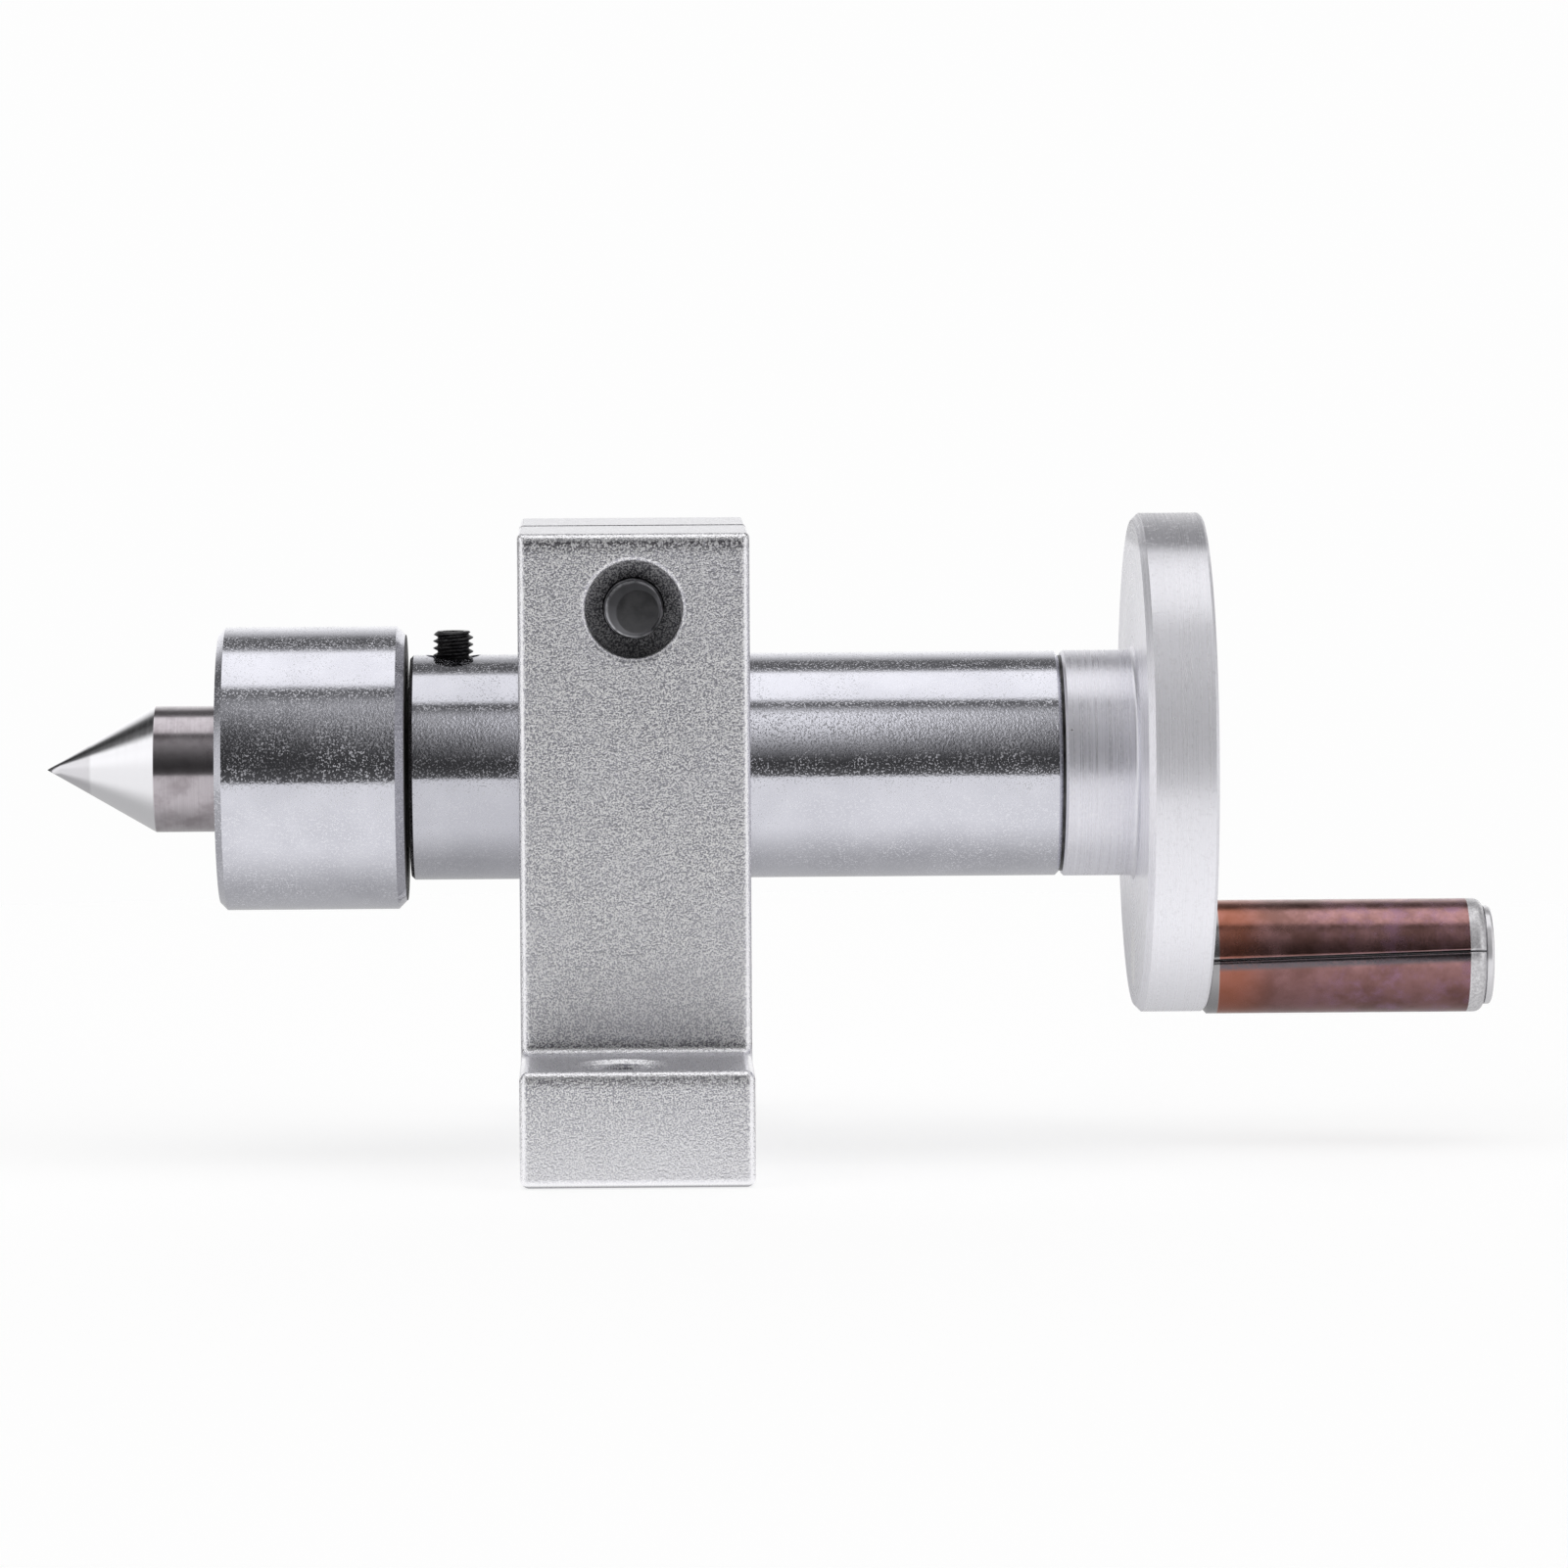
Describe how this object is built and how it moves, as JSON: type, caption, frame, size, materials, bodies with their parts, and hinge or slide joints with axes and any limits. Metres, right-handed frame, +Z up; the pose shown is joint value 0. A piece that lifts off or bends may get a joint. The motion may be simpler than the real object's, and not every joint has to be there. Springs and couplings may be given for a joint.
{
  "type": "live center",
  "caption": "Bed-mounted live center: revolving cone point on a handwheel-fed quill in a barrel, clamped in a footed split bracket, with a crank handle.",
  "frame": {"origin": "centre of the foot's bottom face, straight below the barrel axis and midway along the bracket", "axes": "+X along the barrel axis from the point towards the handwheel, +Y towards the clamp screw's head, +Z up"},
  "size_m": [0.1446, 0.07, 0.0632],
  "materials": {
    "blasted_aluminium": "fine sandblasted, edges tumbled bright",
    "turned_aluminium": "as turned, fine circular tool marks",
    "ground_steel": "cylindrically ground, bright",
    "turned_steel": "as turned",
    "point_steel": "hardened and ground",
    "bearing_steel": "ground and honed",
    "ball_steel": "polished",
    "cage_nylon": "moulded, natural",
    "bronze": "as turned",
    "black_oxide": "black oxide, lightly oiled",
    "copper_flash": "copper-brown flash with heat tint, bare steel ends"
  },
  "bodies": {
    "bracket": {"clamp_bracket": "blasted_aluminium"},
    "clamp_screw": {"clamp_screw": "black_oxide"},
    "barrel": {"barrel": "ground_steel", "thrust_washer": "bronze", "rear_shim": "black_oxide"},
    "lock_screw": {"quill_lock_screw": "black_oxide"},
    "quill": {"quill": "ground_steel", "quill_nut": "bronze", "bearing_housing": "ground_steel", "bearing_cover": "turned_steel", "front_bearing_outer_ring": "bearing_steel", "front_bearing_shields": "turned_steel", "rear_bearing_outer_ring": "bearing_steel", "rear_bearing_shields": "turned_steel"},
    "center": {"center_point": "point_steel", "front_bearing_inner_ring": "bearing_steel", "rear_bearing_inner_ring": "bearing_steel", "center_washer": "turned_steel", "center_screw": "black_oxide"},
    "front_cage": {"front_bearing_cage": "cage_nylon", "front_bearing_balls": "ball_steel"},
    "rear_cage": {"rear_bearing_cage": "cage_nylon", "rear_bearing_balls": "ball_steel"},
    "handwheel": {"handwheel": "turned_aluminium", "leadscrew": "turned_steel", "hub_set_screw": "black_oxide", "spindle_washer": "turned_steel", "spindle_screw": "black_oxide", "handle_pin": "turned_steel"},
    "handle": {"handle_sleeve": "copper_flash"}
  },
  "joints": [
    {"name": "barrel_slide", "type": "slide", "parent": "bracket", "child": "barrel", "axis": [1, 0, 0], "range_m": [-0.03, 0.0045]},
    {"name": "clamp_screw_turn", "type": "hinge", "parent": "bracket", "child": "clamp_screw", "pos_m": [0, 0, 0.05485], "axis": [0, 1, 0], "range_deg": [0, 720]},
    {"name": "lock_screw_turn", "type": "hinge", "parent": "barrel", "child": "lock_screw", "pos_m": [-0.018, 0, 0.05], "axis": [0, 0, 1], "range_deg": [0, 720]},
    {"name": "handwheel_turn", "type": "hinge", "parent": "barrel", "child": "handwheel", "pos_m": [0.045, 0, 0.0382], "axis": [-1, 0, 0], "range_deg": [-90, 7200]},
    {"name": "quill_feed", "type": "slide", "parent": "barrel", "child": "quill", "axis": [-1, 0, 0], "range_m": [-0.00031, 0.02499]},
    {"name": "center_spin", "type": "hinge", "parent": "quill", "child": "center", "pos_m": [-0.033, 0, 0.0382], "axis": [1, 0, 0], "continuous": true},
    {"name": "front_cage_spin", "type": "hinge", "parent": "quill", "child": "front_cage", "pos_m": [-0.0367, 0, 0.0382], "axis": [1, 0, 0], "continuous": true},
    {"name": "rear_cage_spin", "type": "hinge", "parent": "quill", "child": "rear_cage", "pos_m": [-0.0297, 0, 0.0382], "axis": [1, 0, 0], "continuous": true},
    {"name": "handle_spin", "type": "hinge", "parent": "handwheel", "child": "handle", "pos_m": [0.07, 0, 0.01855], "axis": [1, 0, 0], "continuous": true}
  ],
  "couplings": [
    {"joint": "handwheel_turn", "follows": "quill_feed", "rad_per_m": 5026.5},
    {"joint": "front_cage_spin", "follows": "center_spin", "ratio": 0.3732},
    {"joint": "rear_cage_spin", "follows": "center_spin", "ratio": 0.3732}
  ]
}
